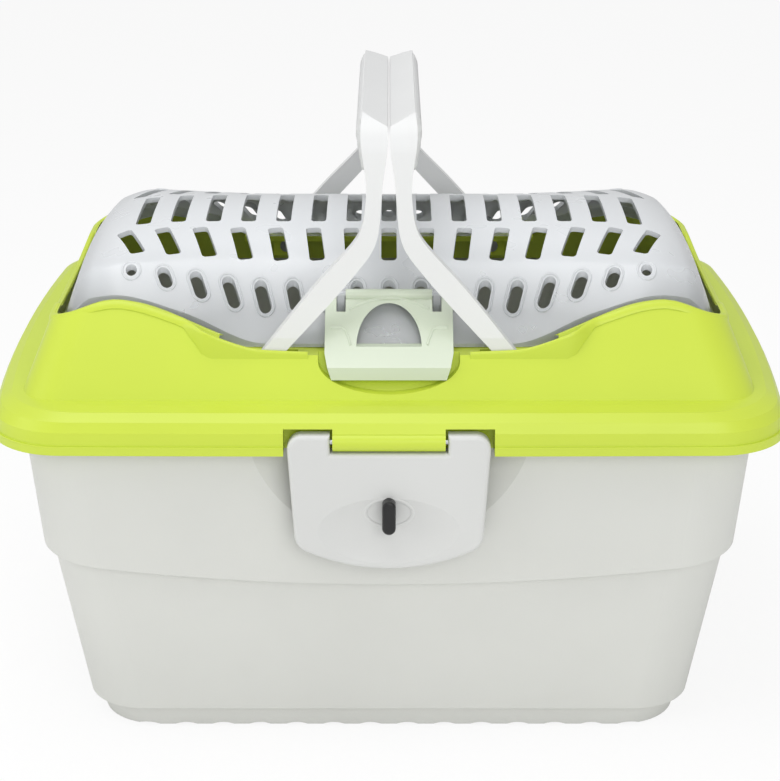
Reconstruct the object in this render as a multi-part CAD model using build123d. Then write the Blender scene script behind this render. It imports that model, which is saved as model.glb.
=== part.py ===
"""Pet carrier: a tapered tub with a hinged lid, a domed roof grille and two fold-down handles.

Millimetres, +Z up. The origin is the centre of the tub's resting face, +X runs to the right
along the long side and -Y is the front, where the clasp is.
"""
from build123d import *
import math
import os

# Walls and running clearances.
WALL = 2.5
RUN_GAP = 0.4
PIN_GAP = 0.08
SEAT_GAP = 0.3

# Tub: half width at mid side, half depth at mid front, at the heights that shape it.
TUB_CORNER = 34.0
BAND_FOOT = (165.0, 126.5)
BAND_TOP = (167.5, 128.5)
BAND_HEIGHT = 13.0
LOWER_FOOT = (172.2, 132.0)
LOWER_TOP = (190.5, 141.5)
UPPER_FOOT = (189.4, 143.5)
UPPER_TOP = (199.0, 149.5)
RIM_OUT, RIM_TOP, RIM_THICK, RIM_GAP_HALF = 3.0, 189.0, 3.0, 68.0
TUB_HEIGHT = 194.0
STEP_MID = 97.0
STEP_RISE = 9.0
STEP_REACH = 150.0
STEP_LOW = 84.0
FLOOR = 3.0
GROOVE_COUNT = 14
GROOVE_PITCH = 21.0
GROOVE_RADIUS = 16.0
GROOVE_DEPTH = 1.2

# Scoop in the tub's front wall that gives the clasp room.
SCOOP_RADIUS = 234.0
SCOOP_DEPTH = 12.0
SCOOP_HEIGHT = 186.0

# Lid: brim, sloping body and the wavy edge round its roof opening.
BRIM_W, BRIM_D = 220.0, 160.0
BRIM_BOW = 10.0
BRIM_BOW_FRONT = 1.5
BRIM_CORNER = 42.0
SKIRT_LOW = 179.0
BEAD_TOP = 184.0
BEAD_PROUD = 0.8
BRIM_ROUND = [(1.6, 191.0), (4.4, 196.0), (10.0, 199.4), (19.0, 200.4)]
BODY_FOOT = (198.0, 134.0)
BODY_TOP = (178.0, 98.0)
BODY_LOW, BODY_HIGH = 200.0, 250.0
BODY_CORNER = 26.0
EDGE_WAVE = [(0.0, 221.2), (66.0, 223.0), (108.0, 236.0), (148.0, 245.0), (176.0, 237.0), (206.0, 222.0)]
SIDE_WAVE = [(0.0, 222.0), (42.0, 224.0), (74.0, 236.0), (96.0, 252.0), (122.0, 266.0)]

# Ledge inside the front and back walls: carries the grille and the handle pivots.
LEDGE_TOP = 221.0
LEDGE_THICK = 3.0
LEDGE_INNER = 103.5
LEDGE_HALF = 92.0

# Roof grille: sections across the carrier, one row for each distance from the middle.
# distance, foot half depth, foot height, crease half depth, crease height, ridge height
GRILLE_FOOT_Y = 107.6
GRILLE_SECTIONS = [
    (66.0, GRILLE_FOOT_Y, 221.6, 68.0, 257.0, 271.5),
    (112.0, 101.0, 237.5, 72.0, 259.5, 270.8),
    (145.0, 94.0, 244.5, 78.0, 260.0, 268.0),
    (161.0, 89.0, 241.5, 75.5, 255.5, 261.5),
    (170.0, 83.0, 234.5, 69.0, 247.0, 252.5),
    (175.5, 72.0, 227.5, 56.0, 235.0, 240.0),
]
GRILLE_THICK = 3.0
GRILLE_SKIRT = 6.0
GRILLE_REST = LEDGE_TOP + SEAT_GAP
SLOT_WIDTH = 6.8
UPPER_PITCH = 20.0
UPPER_COUNT = 15
UPPER_SPAN = (38.0, 65.0)
RIDGE_REACH = 27.0
LOWER_PITCH = 17.6
LOWER_COUNT = 17
LOWER_TOP_Y = 72.0
FAN_UPPER = 0.10
FAN_LOWER = 0.16

# Roof grille's rear hinge.
DOOR_HINGE_Y, DOOR_HINGE_Z = 114.5, 225.2
DOOR_KNUCKLE, DOOR_PIN = 3.2, 1.5
DOOR_HINGE_X, DOOR_KNUCKLE_HALF, DOOR_LUG = 36.0, 6.0, 3.0

# Handles: the leg's two edges in the front view, and the hoop's outline in the side view.
PIVOT_X, PIVOT_Z = 66.0, 214.0
EYE_RADIUS, PIVOT_RADIUS, PIN_HEAD, PIN_REACH = 6.2, 2.6, 3.7, 2.8
LEG_OUTER = [(69.0, 221.0), (51.3, 243.2), (35.2, 261.8), (22.8, 274.9), (16.0, 284.0), (12.6, 298.0)]
GRIP_OUTER = [(12.2, 310.0), (15.0, 333.0), (14.0, 345.0)]
LEG_INNER = [(58.2, 219.0), (33.6, 245.8), (15.8, 266.0), (7.8, 277.5), (4.6, 292.0), (3.2, 310.0)]
GRIP_INNER = [(0.6, 329.0), (0.6, 339.0)]
LEG_MID_Y, LEG_THICK = 114.7, 7.4
LEG_UPRIGHT_TOP, HOOP_TOP = 230.0, 345.0
HOOP_SHOULDER_Y, HOOP_INNER_TOP = 95.5, 323.0
HOOP_CORNER, HOOP_INNER_CORNER = 24.0, 14.0

# Clasp and its tongue.
CLASP_HALF, CLASP_LOW_HALF = 54.0, 50.0
CLASP_BACK, CLASP_FACE = 153.0, 161.0
CLASP_SKIN = 2.5
CLASP_EAR_ROUND, CLASP_FOOT_ROUND = 8.0, 11.0
CLASP_TOP, CLASP_SIDE_LOW, CLASP_MID_LOW = 190.5, 127.0, 114.0
NOTCH_HALF, NOTCH_LOW = 31.0, 180.4
CLASP_PIN_Y, CLASP_PIN_Z, CLASP_PIN_RADIUS = 156.6, 186.0, 1.5
TONGUE_HALF, TONGUE_RADIUS = 29.6, 4.7
RECESS_HALF, RECESS_WALL_Y, RECESS_TOP = 55.4, 148.0, 193.2
DISH_HALF, DISH_HEIGHT, DISH_Z, DISH_DEPTH = 37.5, 19.0, 136.5, 3.6

# Turn knob, the cam bar behind the clasp and the two keepers on the tub.
KNOB_Z, KNOB_WIDE, KNOB_TALL, KNOB_THICK = 146.5, 7.2, 19.0, 6.6
KNOB_SHAFT = 3.0
CAM_FRONT, CAM_THICK, CAM_HALF, CAM_WIDE = 150.4, 3.0, 12.0, 7.2
SCREW_HEAD, SCREW_SHANK = 2.6, 1.2
KEEPER_NEAR, KEEPER_FAR = 7.5, 13.5
KEEPER_LIP, KEEPER_LIP_THICK = 151.3, 1.6

# Rear hinges.
HINGE_X, HINGE_Y, HINGE_Z = 95.0, 166.0, 184.0
HINGE_KNUCKLE, HINGE_PIN = 6.0, 2.0
HINGE_HALF, EAR_THICK = 10.0, 6.0

# Roof latch on the grille's front face.
LATCH_PIN_Y, LATCH_PIN_Z, LATCH_PIN_RADIUS = 90.0, 245.2, 1.5
LATCH_BARREL = 3.2
LATCH_HALF, LATCH_LUG_NEAR, LATCH_LUG_FAR = 34.5, 24.0, 28.0
LATCH_LIFT, LATCH_THICK = 2.0, 3.2
LATCH_BAR_Y, LATCH_BAR_Z = 121.5, 209.5
FINGER_RADIUS = 17.5
POCKET_HALF, POCKET_MID, POCKET_LOW, POCKET_DEPTH = 38.0, 218.0, 203.0, 6.0


def outline(half_wide, half_deep, bow, bow_front, corner):
    """A rectangle with bowed sides and round corners, as a face on the ground plane."""
    x, y = half_wide - bow, half_deep - bow_front
    sides = [
        ThreePointArc((-x, -y), (0, -half_deep), (x, -y)),
        ThreePointArc((x, -y), (half_wide, 0), (x, y)),
        ThreePointArc((x, y), (0, half_deep), (-x, y)),
        ThreePointArc((-x, y), (-half_wide, 0), (-x, -y)),
    ]
    face = make_face(Curve() + sides)
    return fillet(face.vertices(), corner)


def tapered(levels):
    """A solid through outlines, each given as (height, outline arguments)."""
    return loft([Pos(0, 0, z) * outline(*shape) for z, shape in levels], ruled=True)


def box_between(low, high):
    """An axis-aligned box from its lowest to its highest corner."""
    size = [b - a for a, b in zip(low, high)]
    mid = [(a + b) / 2 for a, b in zip(low, high)]
    return Pos(*mid) * Box(*size)


def rod_x(x_low, x_high, y, z, radius):
    """A round rod along X."""
    return Pos((x_low + x_high) / 2, y, z) * Rot(0, 90, 0) * Cylinder(radius, x_high - x_low)


def rod_y(y_low, y_high, x, z, radius):
    """A round rod along Y."""
    return Pos(x, (y_low + y_high) / 2, z) * Rot(90, 0, 0) * Cylinder(radius, y_high - y_low)


def front_prism(face, y_low, y_high):
    """A face drawn as (x, z), extruded from y_low to y_high."""
    solid = extrude(Plane.XZ * face, y_high - y_low)
    return Pos(0, y_high, 0) * solid


def side_prism(face, x_low, x_high):
    """A face drawn as (y, z), extruded from x_low to x_high."""
    return Pos(x_low, 0, 0) * extrude(Plane.YZ * face, x_high - x_low)


def mirrored(points):
    """The points of a half curve, with their mirror images before them."""
    return [(-a, b) for a, b in reversed(points) if a > 0] + list(points)


def mirrored_path(points):
    """A closed path up through the points on the right and down through their mirror images."""
    path = list(points) + [(-a, b) for a, b in reversed(points)]
    return path + path[:1]


def trapezium(low_half, low, high_half, high):
    """An upright face with level lower and upper edges, drawn round the middle."""
    corners = [(-low_half, low), (low_half, low), (high_half, high), (-high_half, high)]
    return make_face(Polyline(*corners, close=True))


def frustum(low, low_size, high, high_size, corner, inset=0.0):
    """A block with flat sloping sides and round corners, from one height to another."""
    (w0, d0), (w1, d1) = low_size, high_size
    block = front_prism(trapezium(w0 - inset, low, w1 - inset, high), -250, 250)
    block = block & side_prism(trapezium(d0 - inset, low, d1 - inset, high), -250, 250)
    uprights = [e for e in block.edges() if abs(e.center().X) > 10 and abs(e.center().Y) > 10]
    return fillet(uprights, corner - inset)


def tub_form(inset, top):
    """The tub's outer form, or with an inset its cavity."""
    foot = FLOOR if inset else 0.0
    step_low = BAND_HEIGHT + inset
    band = frustum(foot, BAND_FOOT, step_low, BAND_TOP, TUB_CORNER, inset)
    step_top = STEP_MID + STEP_RISE + 20.0
    lower = frustum(step_low, LOWER_FOOT, step_top, LOWER_TOP, TUB_CORNER, inset)
    slope = [(b - a) / (TUB_HEIGHT - STEP_LOW) for a, b in zip(UPPER_FOOT, UPPER_TOP)]
    rim = tuple(a + k * (top - TUB_HEIGHT) for a, k in zip(UPPER_TOP, slope))
    upper = frustum(STEP_LOW, UPPER_FOOT, top, rim, TUB_CORNER, inset)
    far = 240.0
    end_z = STEP_MID + inset + STEP_RISE * (far / STEP_REACH) ** 2
    curve = ThreePointArc((-far, end_z), (0, STEP_MID + inset), (far, end_z))
    ends = [
        Line((-far, end_z), (-far, 60)),
        Line((-far, 60), (far, 60)),
        Line((far, 60), (far, end_z)),
    ]
    below_step = front_prism(make_face(Curve() + [curve] + ends), -far, far)
    return band + lower + (upper - below_step)


def tub_rim():
    """The stiffening lip just below the tub's mouth, left out behind the clasp."""
    grown = tuple(a + RIM_OUT for a in UPPER_TOP)
    lip = frustum(RIM_TOP - RIM_THICK, grown, RIM_TOP, grown, TUB_CORNER + RIM_OUT)
    lip -= frustum(RIM_TOP - 2 * RIM_THICK, UPPER_TOP, RIM_TOP + RIM_THICK, UPPER_TOP, TUB_CORNER, 1.0)
    return lip - box_between((-RIM_GAP_HALF, -200, 180), (RIM_GAP_HALF, -100, 200))


def front_scoop(grow):
    """The ball that scoops the front wall; grown, it shapes the inside of the same wall."""
    wall_y = UPPER_TOP[1] - 1.0
    centre_y = -wall_y - SCOOP_RADIUS + SCOOP_DEPTH
    return Pos(0, centre_y, SCOOP_HEIGHT) * Sphere(SCOOP_RADIUS + grow)


def make_tub():
    outer = tub_form(0.0, TUB_HEIGHT) - front_scoop(0.0) + tub_rim()
    cavity = tub_form(WALL, TUB_HEIGHT + 5.0) - front_scoop(WALL)
    tub = outer - cavity
    first = -GROOVE_PITCH * (GROOVE_COUNT - 1) / 2
    for i in range(GROOVE_COUNT):
        x = first + i * GROOVE_PITCH
        z = GROOVE_DEPTH - GROOVE_RADIUS
        tub -= rod_y(-140, 140, x, z, GROOVE_RADIUS)
    for side in (-1, 1):
        tub += keeper(side)
        tub += hinge_ears(side)
    return tub


def keeper(side):
    """A hooked lug on the tub that the cam bar turns in behind: a shelf with a lip in front."""
    shelf_gap = CAM_WIDE / 2 + RUN_GAP
    low_x, high_x = sorted((side * KEEPER_NEAR, side * KEEPER_FAR))
    low_z, high_z = sorted((KNOB_Z - side * (shelf_gap + 4.0), KNOB_Z - side * shelf_gap))
    lip_front = -KEEPER_LIP - KEEPER_LIP_THICK
    lug = box_between((low_x, lip_front, low_z), (high_x, -138.5, high_z))
    low_z, high_z = sorted((KNOB_Z - side * (shelf_gap + 4.0), KNOB_Z + side * 3.0))
    return lug + box_between((low_x, lip_front, low_z), (high_x, -KEEPER_LIP, high_z))


def hinge_ears(side):
    """Two ears behind the tub's back wall, bored for the hinge pin."""
    arm = [
        (UPPER_TOP[1] - 2.2, 180.0),
        (HINGE_Y - 4.0, HINGE_Z + 4.0),
        (HINGE_Y + 3.0, HINGE_Z - 4.0),
        (UPPER_TOP[1] - 3.2, 158.0),
    ]
    arm = make_face(Polyline(*arm, close=True))
    ears = None
    for end in (-1, 1):
        x_mid = side * HINGE_X + end * (HINGE_HALF + RUN_GAP + EAR_THICK / 2)
        plate = side_prism(arm, x_mid - EAR_THICK / 2, x_mid + EAR_THICK / 2)
        plate += rod_x(x_mid - EAR_THICK / 2, x_mid + EAR_THICK / 2, HINGE_Y, HINGE_Z, HINGE_KNUCKLE)
        plate -= rod_x(x_mid - EAR_THICK, x_mid + EAR_THICK, HINGE_Y, HINGE_Z, HINGE_PIN)
        ears = plate if ears is None else ears + plate
    return ears


def make_hinge_pin(side):
    half = HINGE_HALF + RUN_GAP + EAR_THICK
    head = 1.6
    x = side * HINGE_X
    pin = rod_x(x - half, x + half + 0.4, HINGE_Y, HINGE_Z, HINGE_PIN)
    return pin + rod_x(x + half, x + half + head, HINGE_Y, HINGE_Z, HINGE_PIN + 1.4)


def brim_level(back, z, inset):
    """One level of the brim, set back from its outermost line."""
    back = back + inset
    return (z, (BRIM_W - back, BRIM_D - back, BRIM_BOW, BRIM_BOW_FRONT, BRIM_CORNER - inset))


def brim_form(inset, low):
    """The brim's rounded channel, from the skirt to the foot of the body."""
    start = low if inset else BEAD_TOP
    levels = [brim_level(BEAD_PROUD, start, inset)]
    levels += [brim_level(back, z - inset, inset) for back, z in BRIM_ROUND]
    channel = tapered(levels)
    if inset:
        return channel
    return channel + tapered([brim_level(0.0, low, 0.0), brim_level(0.0, BEAD_TOP, 0.0)])


def body_form(inset, low, high):
    """The lid's sloping body, extended down or up along the same slope."""
    def level(z):
        t = (z - BODY_LOW) / (BODY_HIGH - BODY_LOW)
        return tuple(a + (b - a) * t for a, b in zip(BODY_FOOT, BODY_TOP))

    return frustum(low, level(low), high, level(high), BODY_CORNER, inset)


def above_wave(points, reach, front):
    """Everything above a wavy line drawn in the front view, or in the side view."""
    line = Spline(*mirrored(points))
    start, end = line @ 0, line @ 1
    top = 330.0
    ends = [
        Line((end.X, end.Y), (end.X, top)),
        Line((end.X, top), (start.X, top)),
        Line((start.X, top), (start.X, start.Y)),
    ]
    face = make_face(Curve() + [line] + ends)
    return front_prism(face, -reach, reach) if front else side_prism(face, -reach, reach)


def latch_pocket(grow):
    """The finger pocket under the roof latch, in the front wall."""
    wide = POCKET_HALF + grow
    foot = Pos(0, POCKET_MID) * Ellipse(wide, POCKET_MID - POCKET_LOW + grow)
    face = foot + Pos(0, POCKET_MID + 30) * Rectangle(2 * wide, 60)
    prism = front_prism(face, -170, -90)
    slope = (BODY_FOOT[1] - BODY_TOP[1]) / (BODY_HIGH - BODY_LOW)
    depth = POCKET_DEPTH + grow
    foot = -BODY_FOOT[1] + depth
    sheet = [(-170, 190), (foot - slope * 10, 190), (foot + slope * 70, 270), (-170, 270)]
    return prism & side_prism(make_face(Polyline(*sheet, close=True)), -60, 60)


def make_lid():
    outer = brim_form(0.0, SKIRT_LOW) + body_form(0.0, BODY_LOW - 2.0, BODY_HIGH)
    cavity = brim_form(WALL, SKIRT_LOW - 5.0) + body_form(WALL, BODY_LOW - 8.0, BODY_HIGH + 5.0)
    lid = outer - latch_pocket(0.0) - (cavity - latch_pocket(WALL))
    lid -= clasp_recess()
    lid += clasp_recess_wall()
    lid -= tongue_relief()
    lid += make_ledges()
    lid -= above_wave(EDGE_WAVE, 200.0, True)
    lid -= above_wave(SIDE_WAVE, 230.0, False)
    lid += pivot_lugs()
    lid -= leg_slots()
    lid -= pivot_bores()
    lid += door_lugs()
    lid -= tongue_bore()
    for side in (-1, 1):
        lid = add_hinge_knuckle(lid, side)
    return lid


def clasp_recess():
    """The gaps in the brim that the clasp's ears sit in, and the one under the tongue."""
    low = -BRIM_D - 5.0
    gap = box_between((-RECESS_HALF, low, SKIRT_LOW - 5), (RECESS_HALF, -RECESS_WALL_Y, RECESS_TOP))
    tongue_low = CLASP_PIN_Z - TONGUE_RADIUS
    return gap - box_between((-TONGUE_HALF, low, tongue_low), (TONGUE_HALF, 0, RECESS_TOP + 1))


def clasp_recess_wall():
    """The recess's back wall, roof and cheeks, and the tongue that carries the clasp's pin."""
    back = -RECESS_WALL_Y + WALL
    edge = RECESS_HALF + WALL
    wall = box_between((-edge, -RECESS_WALL_Y, SKIRT_LOW), (edge, back, RECESS_TOP + 4.0))
    wall += box_between((-edge, -BRIM_D + 1.0, RECESS_TOP), (edge, back, RECESS_TOP + 1.6))
    for side in (-1, 1):
        low, high = sorted((side * RECESS_HALF, side * edge))
        wall += box_between((low, -BRIM_D, SKIRT_LOW), (high, back, RECESS_TOP + 1.0))
    tongue_low = CLASP_PIN_Z - TONGUE_RADIUS
    wall += box_between((-TONGUE_HALF, -BRIM_D, tongue_low), (TONGUE_HALF, back, RECESS_TOP + 4.0))
    wall = wall & brim_form(0.0, SKIRT_LOW)
    return wall + rod_x(-TONGUE_HALF, TONGUE_HALF, -CLASP_PIN_Y, CLASP_PIN_Z, TONGUE_RADIUS)


def tongue_relief():
    """Trims the tongue's lower front corner, past which the clasp's notch swings."""
    half = TONGUE_HALF + 1.0
    corner_y = CLASP_PIN_Y + TONGUE_RADIUS * 0.35
    corner_z = CLASP_PIN_Z - TONGUE_RADIUS * 0.65
    return box_between((-half, -BRIM_D - 5, SKIRT_LOW - 5), (half, -corner_y, corner_z))


def tongue_bore():
    return rod_x(-TONGUE_HALF - 1, TONGUE_HALF + 1, -CLASP_PIN_Y, CLASP_PIN_Z, CLASP_PIN_RADIUS + PIN_GAP)


def make_ledges():
    """Flat ledges inside the front and back walls, under the grille's long edges."""
    ledges = None
    for side in (-1, 1):
        low, high = sorted((side * LEDGE_INNER, side * 128.0))
        plate = box_between((-LEDGE_HALF, low, LEDGE_TOP - LEDGE_THICK), (LEDGE_HALF, high, LEDGE_TOP))
        ledges = plate if ledges is None else ledges + plate
    return (ledges & body_form(0.5, BODY_LOW, BODY_HIGH)) - latch_pocket(0.0)


def pivot_lugs():
    """An inner lug and an outer pad at each handle pivot, with the leg running between them."""
    lugs = None
    for x in (-PIVOT_X, PIVOT_X):
        for side in (-1, 1):
            inner = LEG_MID_Y - LEG_THICK / 2 - RUN_GAP
            outer = LEG_MID_Y + LEG_THICK / 2 + RUN_GAP
            low, high = sorted((side * (inner - 3.0), side * inner))
            lug = box_between((x - 8, low, PIVOT_Z - 6.5), (x + 8, high, LEDGE_TOP - 0.5))
            low, high = sorted((side * outer, side * (outer + 6.0)))
            pad = box_between((x - 8, low, PIVOT_Z - 6.5), (x + 8, high, PIVOT_Z + 5.0))
            pad = pad & body_form(0.5, BODY_LOW, BODY_HIGH)
            lugs = lug + pad if lugs is None else lugs + lug + pad
    return lugs


def pivot_bores():
    bores = None
    for x in (-PIVOT_X, PIVOT_X):
        for side in (-1, 1):
            low, high = sorted((side * 100.0, side * (LEG_MID_Y + LEG_THICK / 2 + PIN_REACH)))
            bore = rod_y(low, high, x, PIVOT_Z, PIVOT_RADIUS)
            bores = bore if bores is None else bores + bore
    return bores


def leg_slots():
    """The slots in the ledges that the legs stand in and sweep along."""
    slots = None
    for x in (-PIVOT_X, PIVOT_X):
        outward = 1 if x > 0 else -1
        low_x, high_x = sorted((x - outward * 17.0, x + outward * 25.0))
        for side in (-1, 1):
            half = LEG_THICK / 2 + RUN_GAP
            low, high = sorted((side * (LEG_MID_Y - half), side * (LEG_MID_Y + half)))
            slot = box_between((low_x, low, PIVOT_Z - 12), (high_x, high, LEDGE_TOP + 20))
            slots = slot if slots is None else slots + slot
    return slots


def add_hinge_knuckle(lid, side):
    """Notches the skirt for the tub's ears and adds the lid's own knuckle between them."""
    x = side * HINGE_X
    reach = HINGE_HALF + 2 * RUN_GAP + EAR_THICK + 0.6
    lid -= box_between((x - reach, BRIM_D - 7.5, SKIRT_LOW - 2), (x + reach, BRIM_D + 10, 192.5))
    web = [
        (BRIM_D - 8.0, 191.8),
        (BRIM_D - 8.0, 196.5),
        (BRIM_D - 3.5, 195.0),
        (HINGE_Y + 3.5, HINGE_Z + 4.8),
        (HINGE_Y - 4.0, HINGE_Z + 2.0),
    ]
    lid += side_prism(make_face(Polyline(*web, close=True)), x - HINGE_HALF, x + HINGE_HALF)
    lid += rod_x(x - HINGE_HALF, x + HINGE_HALF, HINGE_Y, HINGE_Z, HINGE_KNUCKLE)
    return lid - rod_x(x - HINGE_HALF - 1, x + HINGE_HALF + 1, HINGE_Y, HINGE_Z, HINGE_PIN + PIN_GAP)


def grille_section(row, inset):
    """One section of the dome at its distance from the middle, as a face on an X plane."""
    distance, foot_y, foot_z, crease_y, crease_z, ridge_z = row
    rest = GRILLE_REST if abs(distance) < LEDGE_HALF else 0.0
    low = max(foot_z - GRILLE_SKIRT, rest) - (4.0 if inset else 0.0)
    foot_y, foot_z = foot_y - inset, foot_z + 1.6 - inset * 0.4
    crease_y, crease_z, ridge_z = crease_y - inset * 0.3, crease_z - inset, ridge_z - inset
    edges = [
        Line((foot_y, low), (foot_y, foot_z)),
        Line((foot_y, foot_z), (crease_y, crease_z)),
        ThreePointArc((crease_y, crease_z), (0, ridge_z), (-crease_y, crease_z)),
        Line((-crease_y, crease_z), (-foot_y, foot_z)),
        Line((-foot_y, foot_z), (-foot_y, low)),
        Line((-foot_y, low), (foot_y, low)),
    ]
    return make_face(Curve() + edges)


def grille_form(inset):
    rows = GRILLE_SECTIONS
    shrink = (rows[-1][0] - inset) / rows[-1][0]
    both = [(-r[0], *r[1:]) for r in reversed(rows)] + rows
    faces = [Pos(r[0] * shrink, 0, 0) * (Plane.YZ * grille_section(r, inset)) for r in both]
    return loft(faces, ruled=True)


def slot_prism(x_far, y_far, x_near, y_near, round_ends):
    """A slot through the roof between two points of the plan."""
    length = math.hypot(x_near - x_far, y_near - y_far)
    angle = math.degrees(math.atan2(y_near - y_far, x_near - x_far))
    mid = ((x_far + x_near) / 2, (y_far + y_near) / 2)
    if round_ends:
        shape = RegularPolygon(SLOT_WIDTH / 2, 8, major_radius=False, rotation=22.5)
        shape = make_hull((Pos(-length / 2, 0) * shape).edges() + (Pos(length / 2, 0) * shape).edges())
    else:
        shape = Rectangle(length, SLOT_WIDTH)
    return Pos(*mid, 205) * Rot(0, 0, angle) * extrude(shape, 80)


def lower_slot_foot(x):
    """How far down the face a lower slot reaches: short in the middle, where the latch is."""
    if abs(x) < 9:
        return LOWER_TOP_Y + 2.0
    if abs(x) < 27:
        return LOWER_TOP_Y + 6.0
    if abs(x) < 110:
        return LOWER_TOP_Y + 19.0 - max(0.0, abs(x) - 80) * 0.20
    return LOWER_TOP_Y + max(3.0, 14.0 - (abs(x) - 110) * 0.40)


def make_grille():
    grille = grille_form(0.0) - grille_form(GRILLE_THICK)
    cutters = []
    for i in range(UPPER_COUNT):
        x = (i - (UPPER_COUNT - 1) / 2) * UPPER_PITCH
        lean = x * FAN_UPPER
        cutters.append(slot_prism(x, -RIDGE_REACH, x, RIDGE_REACH, False))
        for side in (-1, 1):
            cutters.append(slot_prism(x + lean, side * UPPER_SPAN[0], x, side * UPPER_SPAN[1], False))
    for i in range(LOWER_COUNT):
        x = (i - (LOWER_COUNT - 1) / 2) * LOWER_PITCH
        foot = lower_slot_foot(x)
        lean = x * FAN_LOWER * (foot - LOWER_TOP_Y) / 19.0
        for side in (-1, 1):
            cutters.append(slot_prism(x, side * (LOWER_TOP_Y + 3.0), x - lean, side * (foot + 3.0), True))
    for cutter in cutters:
        grille -= cutter
    grille += latch_hinge_lugs()
    grille += door_knuckles()
    bore = DOOR_PIN + PIN_GAP
    return grille - rod_x(-60, 60, DOOR_HINGE_Y, DOOR_HINGE_Z, bore)


def latch_hinge_lugs():
    """Two lugs on the grille's front face that hold the latch's pin."""
    lugs = None
    for side in (-1, 1):
        low, high = sorted((side * LATCH_LUG_NEAR, side * LATCH_LUG_FAR))
        foot = [(-84.0, 242.5), (-87.3, 246.8), (-92.4, 243.2), (-93.0, 235.5), (-90.0, 237.0)]
        lug = side_prism(make_face(Polyline(*foot, close=True)), low, high)
        lug += rod_x(low, high, -LATCH_PIN_Y, LATCH_PIN_Z, LATCH_BARREL - 0.4)
        lug -= rod_x(low - 1, high + 1, -LATCH_PIN_Y, LATCH_PIN_Z, LATCH_PIN_RADIUS)
        lugs = lug if lugs is None else lugs + lug
    return lugs


def door_hinge_spans():
    """Where the knuckle of each door hinge lies along X."""
    half = DOOR_KNUCKLE_HALF
    return [(x - half, x + half) for x in (-DOOR_HINGE_X, DOOR_HINGE_X)]


def door_knuckles():
    """The grille's own knuckles, on webs behind its rear foot."""
    knuckles = None
    for low, high in door_hinge_spans():
        web = [
            (GRILLE_FOOT_Y - 1.8, GRILLE_REST + 0.2),
            (GRILLE_FOOT_Y - 1.8, GRILLE_REST + 2.7),
            (DOOR_HINGE_Y, DOOR_HINGE_Z + 2.6),
            (DOOR_HINGE_Y, DOOR_HINGE_Z - 2.6),
        ]
        knuckle = side_prism(make_face(Polyline(*web, close=True)), low, high)
        knuckle += rod_x(low, high, DOOR_HINGE_Y, DOOR_HINGE_Z, DOOR_KNUCKLE)
        knuckles = knuckle if knuckles is None else knuckles + knuckle
    return knuckles


def door_lugs():
    """Two lugs on the rear ledge beside each of the grille's knuckles."""
    lugs = None
    for low, high in door_hinge_spans():
        for edge, out in ((low, -1), (high, 1)):
            x_low, x_high = sorted((edge + out * RUN_GAP, edge + out * (RUN_GAP + DOOR_LUG)))
            near, far = DOOR_HINGE_Y - DOOR_KNUCKLE, DOOR_HINGE_Y + DOOR_KNUCKLE
            lug = box_between((x_low, near, LEDGE_TOP - 2.5), (x_high, far, DOOR_HINGE_Z))
            lug += rod_x(x_low, x_high, DOOR_HINGE_Y, DOOR_HINGE_Z, DOOR_KNUCKLE)
            lug -= rod_x(x_low - 1, x_high + 1, DOOR_HINGE_Y, DOOR_HINGE_Z, DOOR_PIN)
            lugs = lug if lugs is None else lugs + lug
    return lugs


def make_door_pin(side):
    half = DOOR_KNUCKLE_HALF + RUN_GAP + DOOR_LUG
    x = side * DOOR_HINGE_X
    return rod_x(x - half, x + half, DOOR_HINGE_Y, DOOR_HINGE_Z, DOOR_PIN)


def latch_profile():
    """The latch's side view: a plate along the grille's face that ends in a pull bar."""
    along = (-0.776, -0.630)
    outward = (-0.630, 0.776)

    def at(s, off):
        return (-68.0 + s * along[0] + off * outward[0], 257.0 + s * along[1] + off * outward[1])

    lift, top = LATCH_LIFT, LATCH_LIFT + LATCH_THICK
    bar_y, bar_z = -LATCH_BAR_Y, LATCH_BAR_Z
    points = [at(21.0, lift), at(21.0, top), at(60.0, top)]
    points += [(bar_y - 6.0, bar_z + 7.0), (bar_y - 6.0, bar_z), (bar_y, bar_z), (bar_y, bar_z + 6.0)]
    points.append(at(60.0, lift))
    return make_face(Polyline(*points, close=True))


def make_latch():
    half = LATCH_HALF
    latch = side_prism(latch_profile(), -half, half)
    top_arc = ThreePointArc((-half, 240.0), (0, 252.5), (half, 240.0))
    sides = [Line((half, 240.0), (half, 222.0)), Line((half, 222.0), (half - 5.0, 205.0))]
    sides += [Line((half - 5.0, 205.0), (-half + 5.0, 205.0)), Line((-half + 5.0, 205.0), (-half, 222.0))]
    sides.append(Line((-half, 222.0), (-half, 240.0)))
    latch = latch & front_prism(make_face(Curve() + [top_arc] + sides), -140, -70)
    finger = Pos(0, 224.5) * Circle(FINGER_RADIUS) & Pos(0, 224.5 + 20) * Rectangle(60, 40)
    latch -= front_prism(finger, -140, -70)
    latch += rod_x(-LATCH_LUG_NEAR + 0.5, LATCH_LUG_NEAR - 0.5, -LATCH_PIN_Y, LATCH_PIN_Z, LATCH_BARREL)
    for side in (-1, 1):
        low, high = sorted((side * (LATCH_LUG_NEAR - 0.5), side * (LATCH_LUG_FAR + 0.5)))
        latch -= box_between((low, -99.0, 230.0), (high, -80.0, 260.0))
    return latch - rod_x(-half - 1, half + 1, -LATCH_PIN_Y, LATCH_PIN_Z, LATCH_PIN_RADIUS + PIN_GAP)


def make_latch_pin():
    return rod_x(-LATCH_LUG_FAR, LATCH_LUG_FAR, -LATCH_PIN_Y, LATCH_PIN_Z, LATCH_PIN_RADIUS)


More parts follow.
